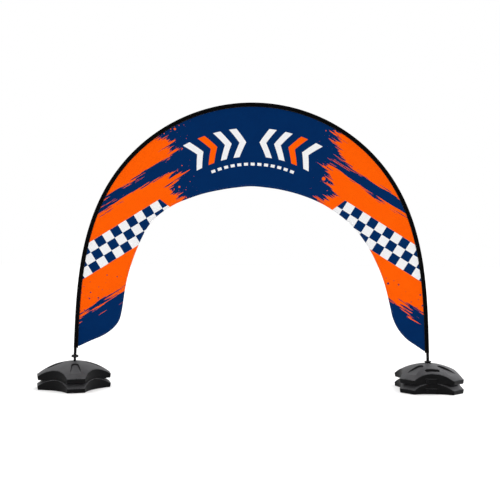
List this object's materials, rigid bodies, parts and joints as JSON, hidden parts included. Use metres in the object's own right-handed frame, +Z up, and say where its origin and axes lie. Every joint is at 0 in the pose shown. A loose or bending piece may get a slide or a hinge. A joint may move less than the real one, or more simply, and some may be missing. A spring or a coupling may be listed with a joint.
{
  "type": "arch flag banner with bent pole and stacked water bases",
  "caption": "Arched event flag: a printed cloth band sleeved on a bent pole, held by collared spindles in stacked domed water bases, with a walk-through opening below.",
  "frame": {"origin": "centre of the box's bottom face, on the floor between the two stacks of bases", "axes": "+X along the span of the arch, +Y from the front face to the back face, +Z up"},
  "size_m": [4.437, 0.7642, 2.9987],
  "materials": {
    "band": "knitted polyester, printed",
    "sleeve": "plain woven pocket cloth",
    "pole": "glass-fibre tube, satin",
    "spindle": "turned steel",
    "collar": "moulded",
    "base": "blow-moulded polyethylene",
    "plug": "moulded"
  },
  "bodies": {
    "root": {"flag_panel": "band", "pole_sleeve": "sleeve", "arch_pole": "pole", "spindle_left": "spindle", "spindle_right": "spindle", "collar_left": "collar", "collar_right": "collar", "base_lower_left": "base", "base_upper_left": "base", "base_lower_right": "base", "base_upper_right": "base", "plug_lower_left": "plug", "plug_upper_left": "plug", "plug_lower_right": "plug", "plug_upper_right": "plug"}
  },
  "joints": []
}
